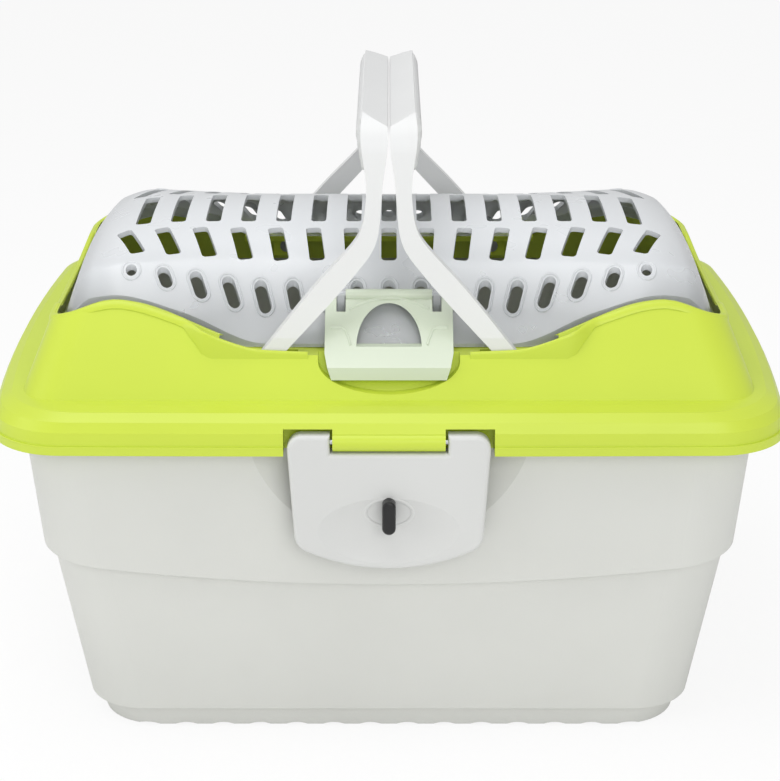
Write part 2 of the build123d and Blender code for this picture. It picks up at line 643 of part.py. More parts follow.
def clasp_outline(inset):
    """The clasp in the front view, with its arched lower edge and the notch for the tongue."""
    half, low_half = CLASP_HALF - inset, CLASP_LOW_HALF - inset
    top, side_low, mid_low = CLASP_TOP - inset, CLASP_SIDE_LOW + inset, CLASP_MID_LOW + inset
    bottom = ThreePointArc((-low_half, side_low), (0, mid_low), (low_half, side_low))
    rest = Polyline((low_half, side_low), (half, top), (-half, top), (-low_half, side_low))
    face = make_face(Curve() + [bottom, rest])
    ordered = face.vertices().sort_by(Axis.Y)
    face = fillet(ordered[:2], CLASP_FOOT_ROUND - inset)
    ordered = face.vertices().sort_by(Axis.Y)
    face = fillet(ordered[-2:], CLASP_EAR_ROUND - inset)
    notch = NOTCH_HALF + inset
    return face - Pos(0, NOTCH_LOW - inset + 20) * Rectangle(2 * notch, 40)


def clasp_dish():
    """A long lens, round about its length, that dips an oval dish into the clasp's face."""
    across = (DISH_HEIGHT ** 2 + DISH_DEPTH ** 2) / (2 * DISH_DEPTH)
    along = (DISH_HALF ** 2 + DISH_DEPTH ** 2) / (2 * DISH_DEPTH)
    tip = math.sqrt(along ** 2 - (along - across) ** 2)
    edges = [ThreePointArc((-tip, 0), (0, across), (tip, 0)), Line((tip, 0), (-tip, 0))]
    lens = revolve(make_face(Curve() + edges), Axis.X)
    return Pos(0, -CLASP_FACE - across + DISH_DEPTH, DISH_Z) * lens


def make_clasp():
    clasp = front_prism(clasp_outline(0.0), -CLASP_FACE, -CLASP_BACK)
    front_edges = clasp.faces().sort_by(Axis.Y)[0].edges()
    clasp = fillet(front_edges, 2.2)
    clasp -= front_prism(clasp_outline(CLASP_SKIN), -CLASP_FACE + CLASP_SKIN, -CLASP_BACK + 5)
    pad = Pos(0, DISH_Z) * Ellipse(DISH_HALF * 0.86, DISH_HEIGHT * 0.9)
    clasp += front_prism(pad, -CLASP_FACE + CLASP_SKIN - 0.5, -CLASP_FACE + DISH_DEPTH + 2.0)
    clasp += rod_y(-157.2, -CAM_FRONT - RUN_GAP, 0, KNOB_Z, 6.0)
    for side in (-1, 1):
        low, high = sorted((side * NOTCH_HALF, side * (NOTCH_HALF + 8.0)))
        clasp += box_between((low, -CLASP_FACE + 2.0, 181.5), (high, -CLASP_BACK, CLASP_TOP - 0.8))
    clasp -= clasp_dish()
    clasp -= rod_y(-CLASP_FACE - 1, -140, 0, KNOB_Z, KNOB_SHAFT + PIN_GAP)
    pin_half = NOTCH_HALF + 7.0
    return clasp - rod_x(-pin_half, pin_half, -CLASP_PIN_Y, CLASP_PIN_Z, CLASP_PIN_RADIUS)


def make_clasp_pin():
    pin_half = NOTCH_HALF + 7.0
    return rod_x(-pin_half, pin_half, -CLASP_PIN_Y, CLASP_PIN_Z, CLASP_PIN_RADIUS)


def make_knob():
    """The upright turn knob with its shaft, drilled behind for the cam's screw."""
    back = -CLASP_FACE - 0.3
    bar = Pos(0, KNOB_Z) * Rot(0, 0, 90) * SlotOverall(KNOB_TALL, KNOB_WIDE)
    knob = front_prism(bar, back - KNOB_THICK, back)
    knob = fillet(knob.faces().sort_by(Axis.Y)[0].edges(), 1.6)
    knob += rod_y(back, -CAM_FRONT + CAM_THICK, 0, KNOB_Z, KNOB_SHAFT)
    return knob - rod_y(-CAM_FRONT - 4.0, -CAM_FRONT + CAM_THICK + 1, 0, KNOB_Z, SCREW_SHANK)


def make_cam():
    """The bar on the shaft's inner end; turned level, it lies behind the keepers' lips."""
    bar = Pos(0, KNOB_Z) * Rot(0, 0, 90) * SlotOverall(2 * CAM_HALF, CAM_WIDE)
    cam = front_prism(bar, -CAM_FRONT, -CAM_FRONT + CAM_THICK)
    return cam - rod_y(-CAM_FRONT - 1, -CAM_FRONT + CAM_THICK + 1, 0, KNOB_Z, KNOB_SHAFT)


def make_cam_screw():
    face = -CAM_FRONT + CAM_THICK
    screw = rod_y(face, face + 1.8, 0, KNOB_Z, SCREW_HEAD + 1.4)
    screw += rod_y(face - 5.0, face, 0, KNOB_Z, SCREW_SHANK)
    drive = Pos(0, KNOB_Z) * (Rectangle(3.2, 0.8) + Rectangle(0.8, 3.2))
    return screw - front_prism(drive, face + 0.8, face + 2.5)


def make_handle(side):
    """One bail: the legs' front view and the hoop's side view, cut to what both share."""
    outer = Spline(*LEG_OUTER, *GRIP_OUTER)
    inner = Spline(*LEG_INNER, *GRIP_INNER)
    crest, foot = Line(outer @ 1, inner @ 1), Line(outer @ 0, inner @ 0)
    leg = make_face(Curve() + [outer, crest, inner, foot])
    leg += Pos(PIVOT_X, PIVOT_Z) * Circle(EYE_RADIUS)
    neck = [LEG_INNER[0], LEG_OUTER[0], (PIVOT_X + 5.6, PIVOT_Z + 2.6), (PIVOT_X - 5.9, PIVOT_Z + 1.9)]
    leg += make_face(Polyline(*neck, close=True))
    band = front_prism(leg, -125, 125)
    out, inn = LEG_MID_Y + LEG_THICK / 2, LEG_MID_Y - LEG_THICK / 2
    outside = [(out, 200), (out, LEG_UPRIGHT_TOP), (HOOP_SHOULDER_Y, HOOP_TOP + 1)]
    hoop = make_face(Polyline(*mirrored_path(outside)))
    hoop = fillet([v for v in hoop.vertices() if v.Y > HOOP_TOP], HOOP_CORNER)
    slope = (out - HOOP_SHOULDER_Y) / (HOOP_TOP + 1 - LEG_UPRIGHT_TOP)
    inner_top_y = inn - slope * (HOOP_INNER_TOP - LEG_UPRIGHT_TOP)
    inside = [(inn, 190), (inn, LEG_UPRIGHT_TOP), (inner_top_y, HOOP_INNER_TOP)]
    window = make_face(Polyline(*mirrored_path(inside)))
    window = fillet([v for v in window.vertices() if abs(v.Y - HOOP_INNER_TOP) < 0.1], HOOP_INNER_CORNER)
    handle = band & side_prism(hoop - window, -1, 90)
    handle -= rod_y(-125, 125, PIVOT_X, PIVOT_Z, PIVOT_RADIUS + PIN_GAP)
    return handle if side > 0 else mirror(handle, about=Plane.YZ)


def make_pivot_pin(side_x, side_y):
    """A headed pin from the inner lug through the leg's eye into the outer pad."""
    inner = LEG_MID_Y - LEG_THICK / 2 - RUN_GAP - 3.0
    outer = LEG_MID_Y + LEG_THICK / 2 + PIN_REACH
    low, high = sorted((side_y * inner, side_y * outer))
    pin = rod_y(low, high, side_x * PIVOT_X, PIVOT_Z, PIVOT_RADIUS)
    low, high = sorted((side_y * (inner - 1.5), side_y * inner))
    return pin + rod_y(low, high, side_x * PIVOT_X, PIVOT_Z, PIN_HEAD)


def main():
    parts = {
        "tub": make_tub(),
        "hinge_pin_left": make_hinge_pin(-1),
        "hinge_pin_right": make_hinge_pin(1),
        "lid": make_lid(),
        "roof_grille": make_grille(),
        "door_pin_left": make_door_pin(-1),
        "door_pin_right": make_door_pin(1),
        "roof_latch": make_latch(),
        "roof_latch_pin": make_latch_pin(),
        "clasp": make_clasp(),
        "clasp_pin": make_clasp_pin(),
        "turn_knob": make_knob(),
        "lock_cam": make_cam(),
        "cam_screw": make_cam_screw(),
        "handle_left": make_handle(-1),
        "handle_right": make_handle(1),
    }
    for x_name, side_x in (("left", -1), ("right", 1)):
        for y_name, side_y in (("front", -1), ("rear", 1)):
            parts[f"pivot_pin_{x_name}_{y_name}"] = make_pivot_pin(side_x, side_y)
    os.makedirs("parts", exist_ok=True)
    for name, part in parts.items():
        export_step(part, f"parts/{name}.step")


main()
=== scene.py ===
"""Looks of the pet carrier: moulded plastics, a frosted roof and a soft studio.

The sizes and places of new pieces are in millimetres, in the part's own frame, and metres()
turns them into Blender's metres. The camera, the lamps, the floor and the finishes are placed
in metres, and named angles are in degrees.
"""
import bmesh
import bpy
import math
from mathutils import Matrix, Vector
from mathutils.bvhtree import BVHTree


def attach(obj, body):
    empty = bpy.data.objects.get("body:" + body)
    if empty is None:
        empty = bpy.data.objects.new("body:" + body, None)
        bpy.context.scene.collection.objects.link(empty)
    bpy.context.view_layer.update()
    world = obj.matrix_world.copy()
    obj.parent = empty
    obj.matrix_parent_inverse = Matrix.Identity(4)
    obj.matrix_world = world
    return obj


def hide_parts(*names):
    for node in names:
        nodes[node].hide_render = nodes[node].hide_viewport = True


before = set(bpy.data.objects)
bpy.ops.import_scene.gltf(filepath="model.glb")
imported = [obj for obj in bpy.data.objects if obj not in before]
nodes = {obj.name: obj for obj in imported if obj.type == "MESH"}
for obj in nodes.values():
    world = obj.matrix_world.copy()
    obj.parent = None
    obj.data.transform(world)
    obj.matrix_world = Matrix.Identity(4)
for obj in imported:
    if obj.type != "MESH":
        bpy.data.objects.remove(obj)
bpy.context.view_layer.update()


# Camera: the plain view that the photograph was taken from.
CAMERA_PLACE = (0.0, -1.126, 0.583)
CAMERA_TILT = 69.2
CAMERA_LENS = 92.2
CAMERA_SHIFT = 0.0013
SENSOR_WIDTH = 36.0
NEAREST_SEEN = 0.05


def make_camera():
    data = bpy.data.cameras.new("camera")
    data.sensor_width = SENSOR_WIDTH
    data.lens = CAMERA_LENS
    data.shift_x = CAMERA_SHIFT
    data.clip_start = NEAREST_SEEN
    camera = bpy.data.objects.new("camera", data)
    camera.location = CAMERA_PLACE
    camera.rotation_euler = (math.radians(CAMERA_TILT), 0.0, 0.0)
    bpy.context.scene.collection.objects.link(camera)
    bpy.context.scene.camera = camera


# Moulded plastic: slow tone changes, a fine spark-eroded grain and softly varied gloss.
TONE_SCALE, TONE_DETAIL = 9.0, 3.0
TONE_SPAN = (0.3, 0.7)
TONE_DARK, TONE_LIGHT = 0.97, 1.02
GLOSS_SCALE = 42.0
GLOSS_LOW, GLOSS_HIGH = 0.9, 1.12
GRAIN_SCALE = 900.0
GRAIN_DEPTH = 0.0002
PLASTIC_IOR = 1.46
COAT_ROUGHNESS = 0.18


def linear(r, g, b):
    """A screen colour as the linear one that the shaders take."""
    def channel(c):
        c /= 255.0
        return c / 12.92 if c <= 0.04045 else ((c + 0.055) / 1.055) ** 2.4
    return (channel(r), channel(g), channel(b), 1.0)


def noise(tree, place, scale, detail=2.0):
    texture = tree.nodes.new("ShaderNodeTexNoise")
    texture.inputs["Scale"].default_value = scale
    texture.inputs["Detail"].default_value = detail
    tree.links.new(place.outputs["Object"], texture.inputs["Vector"])
    return texture.outputs["Fac"]


def plastic(name, colour, roughness, grain=0.12, coat=0.0, clear=0.0):
    material = bpy.data.materials.new(name)
    material.use_nodes = True
    tree = material.node_tree
    shader = tree.nodes["Principled BSDF"]
    place = tree.nodes.new("ShaderNodeTexCoord")

    ramp = tree.nodes.new("ShaderNodeValToRGB")
    dark, light = ramp.color_ramp.elements
    dark.position, light.position = TONE_SPAN
    dark.color = tuple(c * TONE_DARK for c in colour[:3]) + (1.0,)
    light.color = tuple(min(1.0, c * TONE_LIGHT) for c in colour[:3]) + (1.0,)
    tree.links.new(noise(tree, place, TONE_SCALE, TONE_DETAIL), ramp.inputs["Fac"])
    tree.links.new(ramp.outputs["Color"], shader.inputs["Base Color"])

    gloss = tree.nodes.new("ShaderNodeMapRange")
    gloss.inputs["To Min"].default_value = roughness * GLOSS_LOW
    gloss.inputs["To Max"].default_value = min(1.0, roughness * GLOSS_HIGH)
    tree.links.new(noise(tree, place, GLOSS_SCALE), gloss.inputs["Value"])
    tree.links.new(gloss.outputs["Result"], shader.inputs["Roughness"])

    bump = tree.nodes.new("ShaderNodeBump")
    bump.inputs["Strength"].default_value = grain
    bump.inputs["Distance"].default_value = GRAIN_DEPTH
    tree.links.new(noise(tree, place, GRAIN_SCALE), bump.inputs["Height"])
    tree.links.new(bump.outputs["Normal"], shader.inputs["Normal"])

    shader.inputs["IOR"].default_value = PLASTIC_IOR
    shader.inputs["Coat Weight"].default_value = coat
    shader.inputs["Coat Roughness"].default_value = COAT_ROUGHNESS
    shader.inputs["Transmission Weight"].default_value = clear
    return material


def metal(name, colour, roughness):
    material = plastic(name, colour, roughness, grain=0.05)
    material.node_tree.nodes["Principled BSDF"].inputs["Metallic"].default_value = 1.0
    return material


# The roof lets more light through near its foot than near its ridge.
CLEAR_HEIGHT, CLOUDY_HEIGHT = 0.236, 0.264
MOST_CLEAR, LEAST_CLEAR = 0.60, 0.08


def clear_at_foot(material):
    tree = material.node_tree
    place = tree.nodes.new("ShaderNodeTexCoord")
    axes = tree.nodes.new("ShaderNodeSeparateXYZ")
    tree.links.new(place.outputs["Object"], axes.inputs["Vector"])
    change = tree.nodes.new("ShaderNodeMapRange")
    change.inputs["From Min"].default_value = CLEAR_HEIGHT
    change.inputs["From Max"].default_value = CLOUDY_HEIGHT
    change.inputs["To Min"].default_value = MOST_CLEAR
    change.inputs["To Max"].default_value = LEAST_CLEAR
    tree.links.new(axes.outputs["Z"], change.inputs["Value"])
    shader = tree.nodes["Principled BSDF"]
    tree.links.new(change.outputs["Result"], shader.inputs["Transmission Weight"])


def paint(material, *names):
    for name in names:
        piece = nodes[name]
        for place in piece.material_slots:
            place.material = material
        if not piece.material_slots:
            piece.data.materials.append(material)


def make_materials():
    """Gives every part its plastic or metal, and hands back those that added pieces use."""
    tub = plastic("tub_grey", linear(210, 211, 206), 0.42, grain=0.18)
    lime = plastic("lid_lime", linear(198, 216, 68), 0.36, coat=0.05)
    frosted = plastic("frosted_clear", linear(229, 232, 235), 0.28, grain=0.03, coat=0.3)
    clear_at_foot(frosted)
    latch = plastic("latch_clear", linear(211, 221, 200), 0.3, grain=0.03, coat=0.3, clear=0.05)
    clasp = plastic("clasp_grey", linear(209, 210, 208), 0.36)
    white = plastic("handle_white", linear(223, 224, 224), 0.38)
    black = plastic("knob_black", linear(20, 20, 21), 0.32)
    steel = metal("pin_steel", linear(190, 192, 196), 0.3)
    paint(tub, "tub")
    paint(lime, "lid")
    paint(frosted, "roof_grille")
    paint(latch, "roof_latch")
    paint(clasp, "clasp")
    paint(white, "handle_left", "handle_right")
    paint(black, "turn_knob", "lock_cam")
    for name in nodes:
        if "pin" in name or "screw" in name:
            paint(steel, name)
    return {"lime": lime, "frosted": frosted, "latch": latch, "clasp": clasp, "white": white}


# Edges: moulded parts have small rounds on every edge, each with a width and a number of facets.
EDGE_ROUNDS = {
    "tub": (0.8, 2),
    "lid": (0.8, 2),
    "roof_latch": (1.2, 3),
    "clasp": (0.8, 2),
    "handle_left": (1.4, 3),
    "handle_right": (1.4, 3),
    "turn_knob": (0.4, 2),
}


def round_edges(piece, width, facets=2, least_angle=38.0):
    bevel = piece.modifiers.new("edge_round", "BEVEL")
    bevel.width = width / 1000
    bevel.segments = facets
    bevel.limit_method = "ANGLE"
    bevel.angle_limit = math.radians(least_angle)


# Helpers for new pieces.
def metres(*sizes):
    return tuple(size / 1000 for size in sizes)


def surface_of(mesh):
    return BVHTree.FromPolygons([v.co for v in mesh.vertices], [f.vertices for f in mesh.polygons])


def new_mesh(name, verts, faces):
    mesh = bpy.data.meshes.new(name)
    mesh.from_pydata(verts, [], faces)
    return mesh


def mesh_of(name, form):
    mesh = bpy.data.meshes.new(name)
    form.to_mesh(mesh)
    form.free()
    return mesh


def finish_mesh(name, mesh, body, material, sharp=32.0):
    """Makes a mesh a smooth-shaded piece that rides on a body."""
    mesh.polygons.foreach_set("use_smooth", [True] * len(mesh.polygons))
    mesh.set_sharp_from_angle(angle=math.radians(sharp))
    mesh.materials.clear()
    mesh.materials.append(material)
    piece = bpy.data.objects.new(name, mesh)
    bpy.context.scene.collection.objects.link(piece)
    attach(piece, body)
    return piece


def steady(table, column, x):
    """A smooth curve through a column of a table, with no overshoot between its rows."""
    xs = [row[0] for row in table]
    ys = [row[column] for row in table]
    x = min(max(x, xs[0]), xs[-1])
    slopes = [(ys[i + 1] - ys[i]) / (xs[i + 1] - xs[i]) for i in range(len(xs) - 1)]
    ends = [slopes[0]]
    for before, after in zip(slopes, slopes[1:]):
        ends.append(0.0 if before * after <= 0 else 2 * before * after / (before + after))
    ends.append(slopes[-1])
    i = max(k for k in range(len(slopes)) if xs[k] <= x)
    h = xs[i + 1] - xs[i]
    t = (x - xs[i]) / h
    return ((1 + 2 * t) * (1 - t) ** 2 * ys[i] + t * (1 - t) ** 2 * h * ends[i]
            + t * t * (3 - 2 * t) * ys[i + 1] + t * t * (t - 1) * h * ends[i + 1])


def eased(t):
    """Zero to one with level ends."""
    t = min(1.0, max(0.0, t))
    return t * t * (3 - 2 * t)


def strip(sections, closed):
    """Faces that join a row of equal loops, with the two ends filled when it isn't closed."""
    count = len(sections[0])
    verts = [point for section in sections for point in section]
    faces = []
    last = len(sections) if closed else len(sections) - 1
    for i in range(last):
        here, there = i * count, (i + 1) % len(sections) * count
        for k in range(count):
            n = (k + 1) % count
            faces.append((here + k, here + n, there + n, there + k))
    if not closed:
        faces.append(tuple(reversed(range(count))))
        faces.append(tuple(len(verts) - count + k for k in range(count)))
    return verts, faces


def hull_prism(points, x_low, x_high):
    """The hull of (y, z) points, carried from one X to another."""
    form = bmesh.new()
    for x in (x_low, x_high):
        for y, z in points:
            form.verts.new(metres(x, y, z))
    bmesh.ops.convex_hull(form, input=form.verts)
    loose = [v for v in form.verts if not v.link_faces]
    bmesh.ops.delete(form, geom=loose, context="VERTS")
    return mesh_of("prism", form)


def ring(y, z, radius, steps=20):
    turns = [2 * math.pi * k / steps for k in range(steps)]
    return [(y + radius * math.cos(a), z + radius * math.sin(a)) for a in turns]


# Roof: a domed shell of even thickness, as the mould makes it. Each row: distance from the
# middle, foot half depth, foot height, crease half depth, crease height, ridge height.
ROOF_ROWS = [
    (0.0, 107.6, 223.2, 69.5, 256.6, 271.4),
    (66.0, 107.6, 223.2, 69.5, 256.6, 271.4),
    (112.0, 101.0, 239.1, 72.5, 259.0, 270.7),
    (145.0, 94.0, 246.1, 77.5, 259.6, 267.9),
    (162.5, 89.0, 243.1, 75.5, 255.5, 261.5),
    (172.5, 84.0, 234.1, 69.0, 246.0, 251.5),
    (178.8, 76.0, 229.1, 56.0, 233.0, 236.5),
]
ROOF_THICK, ROOF_ROUND = 2.8, 0.6
SKIRT = 7.6
ROOF_REST, LEDGE_HALF = 221.3, 92.0
FACE_STEPS, DOME_STEPS = 15, 18
CREASE_PASSES = 2
FOOT_POINTS = 3
HALF_COLUMNS = 60


def roof_section(x):
    """The roof's outer line at one distance from the middle, from the front foot to the rear one."""
    foot_y, foot_z, crease_y, crease_z, ridge_z = (steady(ROOF_ROWS, k, abs(x)) for k in range(1, 6))
    low = max(foot_z - SKIRT, ROOF_REST if abs(x) < LEDGE_HALF else 0.0)
    rise = ridge_z - crease_z
    radius = (crease_y ** 2 + rise ** 2) / (2 * rise)
    half = [(foot_y, low), (foot_y, (low + foot_z) / 2), (foot_y, foot_z)]
    for k in range(1, FACE_STEPS):
        t = k / FACE_STEPS
        half.append((foot_y + (crease_y - foot_y) * t, foot_z + (crease_z - foot_z) * t))
    reach = math.asin(crease_y / radius)
    for k in range(DOME_STEPS + 1):
        turn = reach * (1 - k / DOME_STEPS)
        half.append((radius * math.sin(turn), ridge_z - radius + radius * math.cos(turn)))
    line = [(-y, z) for y, z in half] + [(y, z) for y, z in reversed(half[:-1])]
    for _ in range(CREASE_PASSES):
        kept = list(line)
        for i in range(FOOT_POINTS, len(line) - FOOT_POINTS):
            line[i] = tuple((kept[i - 1][k] + 2 * kept[i][k] + kept[i + 1][k]) / 4 for k in (0, 1))
    return line


def roof_form():
    """The dome as one open sheet, with columns closer together towards its two ends."""
    end = ROOF_ROWS[-1][0]
    columns = [end * math.sin(math.pi / 2 * k / HALF_COLUMNS) for k in range(-HALF_COLUMNS, HALF_COLUMNS + 1)]
    verts, faces = [], []
    for x in columns:
        verts += [metres(x, y, z) for y, z in roof_section(x)]
    count = len(verts) // len(columns)
    for i in range(len(columns) - 1):
        for k in range(count - 1):
            a = i * count + k
            faces.append((a, a + count, a + count + 1, a + 1))
    faces.append(tuple(range(count)))
    faces.append(tuple(reversed(range(len(verts) - count, len(verts)))))
    return new_mesh("roof_shell", verts, faces)


# Slots in plan: bars over the ridge, bars fanned along both upper faces, and rounded slots in
# both sloping faces, shortest in the middle and at the ends.
UPPER_PITCH, UPPER_EACH_WAY = 20.0, 7
UPPER_HALF, UPPER_CORNER = 4.3, 2.2
RIDGE_REACH = 24.0
UPPER_SPAN = (40.5, 62.5)
UPPER_FAN = 1.06
LOWER_PITCH = 17.6
LOWER_HALF, END_HALF = 3.5, 3.0
LOWER_START = 81.0
LOWER_LENGTHS = (0.4, 3.0, 6.5, 8.0, 9.0, 8.5, 7.5, 4.5, 0.3)
LOWER_LEAN, FULL_LEAN_FROM = 0.42, 5
CUT_LOW, CUT_HIGH = 205.0, 290.0


def bar_outline(start, end, half, corner, steps=5):
    """A bar's outline in plan between two points, with round corners."""
    ahead = math.atan2(end[1] - start[1], end[0] - start[0])
    length = math.hypot(end[0] - start[0], end[1] - start[1]) / 2
    middle = ((start[0] + end[0]) / 2, (start[1] + end[1]) / 2)
    points = []
    for quarter, (u, v) in enumerate(((1, 1), (-1, 1), (-1, -1), (1, -1))):
        centre = (u * (length + half - corner), v * (half - corner))
        for k in range(steps + 1):
            turn = math.pi / 2 * (quarter + k / steps)
            x, y = centre[0] + corner * math.cos(turn), centre[1] + corner * math.sin(turn)
            points.append((middle[0] + x * math.cos(ahead) - y * math.sin(ahead),
                           middle[1] + x * math.sin(ahead) + y * math.cos(ahead)))
    return points


def upper_slots():
    near, far = UPPER_SPAN
    for i in range(-UPPER_EACH_WAY, UPPER_EACH_WAY + 1):
        x = i * UPPER_PITCH
        yield bar_outline((x, -RIDGE_REACH), (x, RIDGE_REACH), UPPER_HALF, UPPER_CORNER)
        for side in (-1, 1):
            yield bar_outline((x * UPPER_FAN, side * near), (x, side * far), UPPER_HALF, UPPER_CORNER)


def lower_slots():
    """The centre line and half width of each rounded slot."""
    last = len(LOWER_LENGTHS) - 1
    for i in range(-last, last + 1):
        x = i * LOWER_PITCH
        length = LOWER_LENGTHS[abs(i)]
        lean = LOWER_LEAN * length * min(1.0, abs(i) / FULL_LEAN_FROM) * (1 if i > 0 else -1)
        half = END_HALF if abs(i) == last else LOWER_HALF
        for side in (-1, 1):
            yield (x, side * LOWER_START), (x - lean, side * (LOWER_START + length)), half


def slot_cutter():
    form = bmesh.new()
    outlines = list(upper_slots())
    outlines += [bar_outline(start, end, half, half) for start, end, half in lower_slots()]
    for outline in outlines:
        low = [form.verts.new(metres(x, y, CUT_LOW)) for x, y in outline]
        high = [form.verts.new(metres(x, y, CUT_HIGH)) for x, y in outline]
        form.faces.new(list(reversed(low)))
        form.faces.new(high)
        for k in range(len(low)):
            n = (k + 1) % len(low)
            form.faces.new((low[k], low[n], high[n], high[k]))
    return mesh_of("slot_cutter", form)


def make_roof(material):
    """Thickens the dome, cuts its slots and puts it in place of the CAD grille."""
    shell = bpy.data.objects.new("shell", roof_form())
    cutter = bpy.data.objects.new("cutter", slot_cutter())
    for piece in (shell, cutter):
        bpy.context.scene.collection.objects.link(piece)
    surface = surface_of(shell.data)
    thick = shell.modifiers.new("thick", "SOLIDIFY")
    thick.thickness = ROOF_THICK / 1000
    thick.offset = -1.0
    cut = shell.modifiers.new("cut", "BOOLEAN")
    cut.operation = "DIFFERENCE"
    cut.solver = "EXACT"
    cut.object = cutter
    bpy.context.view_layer.update()
    view = bpy.context.evaluated_depsgraph_get()
    mesh = bpy.data.meshes.new_from_object(shell.evaluated_get(view))
    for piece in (shell, cutter):
        bpy.data.objects.remove(piece)
    roof = finish_mesh("roof_shell", mesh, "roof", material)
    round_edges(roof, ROOF_ROUND, least_angle=40.0)
    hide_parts("roof_grille")
    return surface


# Rims: half the width inside and outside, and for each point of the section its share of the
# way out and its height over the dome.
RIM_INNER, RIM_OUTER = 4.2, 5.6
RIM_SECTION = ((0.0, -0.4), (0.15, 0.35), (0.5, 0.6), (0.85, 0.35), (1.0, -0.4))
OVERHEAD = 400.0


def slot_rims(surface, material):
    """A low raised rim round each rounded slot."""
    all_verts, all_faces = [], []
    for start, end, _ in lower_slots():
        inner = bar_outline(start, end, RIM_INNER, RIM_INNER)
        outer = bar_outline(start, end, RIM_OUTER, RIM_OUTER)
        loop = []
        for (x, y), (xo, yo) in zip(inner, outer):
            section = []
            for t, lift in RIM_SECTION:
                above = Vector(metres(x + (xo - x) * t, y + (yo - y) * t, OVERHEAD))
                hit, normal = surface.ray_cast(above, Vector((0, 0, -1)))[:2]
                if normal.z < 0:
                    normal = -normal
                section.append(tuple(hit + normal * lift / 1000))
            loop.append(section)
        verts, faces = strip(loop, True)
        offset = len(all_verts)
        all_verts += verts
        all_faces += [tuple(offset + k for k in face) for face in faces]
    mesh = new_mesh("slot_rims", all_verts, all_faces)
    finish_mesh("slot_rims", mesh, "roof", material, sharp=60.0)


# Lugs, in side view: a foot on the dome and an eye round the pin (Y, Z, radius).
LATCH_LUG_FOOT = [(-84.0, 242.5), (-87.3, 246.8), (-92.4, 243.2), (-93.0, 235.5), (-90.0, 237.0)]
LATCH_LUG_EYE = (-90.0, 245.2, 2.8)
LATCH_LUG_STARTS, LATCH_LUG_WIDE = (-28.0, 24.0), 4.0
KNUCKLE_FOOT = [(105.8, 221.5), (105.8, 224.0)]
KNUCKLE_EYE = (114.5, 225.2, 3.2)
KNUCKLE_PLACES, KNUCKLE_HALF = (-36.0, 36.0), 6.0
LUG_ROUND = 0.5


def roof_lugs(material):
    """The lugs for the latch's pin and the knuckles for the two rear hinge pins."""
    latch_lug = LATCH_LUG_FOOT + ring(*LATCH_LUG_EYE)
    knuckle = KNUCKLE_FOOT + ring(*KNUCKLE_EYE)
    prisms = [hull_prism(latch_lug, x, x + LATCH_LUG_WIDE) for x in LATCH_LUG_STARTS]
    prisms += [hull_prism(knuckle, x - KNUCKLE_HALF, x + KNUCKLE_HALF) for x in KNUCKLE_PLACES]
    whole = bmesh.new()
    for mesh in prisms:
        whole.from_mesh(mesh)
        bpy.data.meshes.remove(mesh)
    piece = finish_mesh("roof_lugs", mesh_of("roof_lugs", whole), "roof", material)
    round_edges(piece, LUG_ROUND, least_angle=30.0)


# Raised lines: shares of a line's half width and of its height, from one edge to the other.
LINE_SECTION = ((-1.0, -0.5), (-0.8, 0.4), (-0.35, 0.9), (0.35, 0.9), (0.8, 0.4), (1.0, -0.5))
AHEAD = Vector((0.0, 1.0, 0.0))
IN_FRONT = -200.0


def raised_line(name, surface, path, half, lift, body, material):
    """A low rounded line on a surface, along a path of (x, z) places seen from the front."""
    places = [Vector(metres(x, IN_FRONT, z)) for x, z in path]
    sections = []
    for i, place in enumerate(places):
        before, after = places[max(0, i - 1)], places[min(len(places) - 1, i + 1)]
        across = (after - before).normalized().cross(AHEAD).normalized()
        section = []
        for share, rise in LINE_SECTION:
            hit, normal = surface.ray_cast(place + across * (half * share / 1000), AHEAD)[:2]
            if hit is None:
                break
            if normal.dot(AHEAD) > 0:
                normal = -normal
            section.append(tuple(hit + normal * (lift * rise / 1000)))
        if len(section) == len(LINE_SECTION):
            sections.append(section)
    mesh = new_mesh(name, *strip(sections, False))
    finish_mesh(name, mesh, body, material, sharp=60.0)


# Lines on the latch: an arch over the finger opening and a step at each shoulder.
LATCH_LINE_HALF, LATCH_LINE_LIFT = 0.8, 0.6
ARCH_HALF, ARCH_TOP, ARCH_DROP = 23.5, 244.1, 5.2
ARCH_STEPS = 24
STEP_CORNERS = [(31.5, 232.2), (25.5, 232.2), (23.5, 231.2), (21.5, 227.5), (20.6, 225.2)]


def latch_lines(material):
    surface = surface_of(nodes["roof_latch"].data)
    shares = [2 * k / ARCH_STEPS - 1 for k in range(ARCH_STEPS + 1)]
    lines = {
        "latch_arch": [(ARCH_HALF * share, ARCH_TOP - ARCH_DROP * share ** 2) for share in shares],
        "latch_step_left": [(-x, z) for x, z in STEP_CORNERS],
        "latch_step_right": STEP_CORNERS,
    }
    for name, path in lines.items():
        raised_line(name, surface, path, LATCH_LINE_HALF, LATCH_LINE_LIFT, "latch", material)


# Dimple: half its width, half its height and the height of its middle, close to the knob's.
DIMPLE_HALF, DIMPLE_RISE, DIMPLE_MIDDLE = 12.5, 8.5, 146.2
RIM_HALF, RIM_LIFT = 1.2, 0.4
DIMPLE_STEPS = 48


def knob_dimple(material):
    """The low oval rim of the dimple that the turn knob stands in."""
    turns = [2 * math.pi * k / DIMPLE_STEPS for k in range(DIMPLE_STEPS + 1)]
    path = [(DIMPLE_HALF * math.cos(turn), DIMPLE_MIDDLE + DIMPLE_RISE * math.sin(turn)) for turn in turns]
    surface = surface_of(nodes["clasp"].data)
    raised_line("dimple_rim", surface, path, RIM_HALF, RIM_LIFT, "clasp", material)


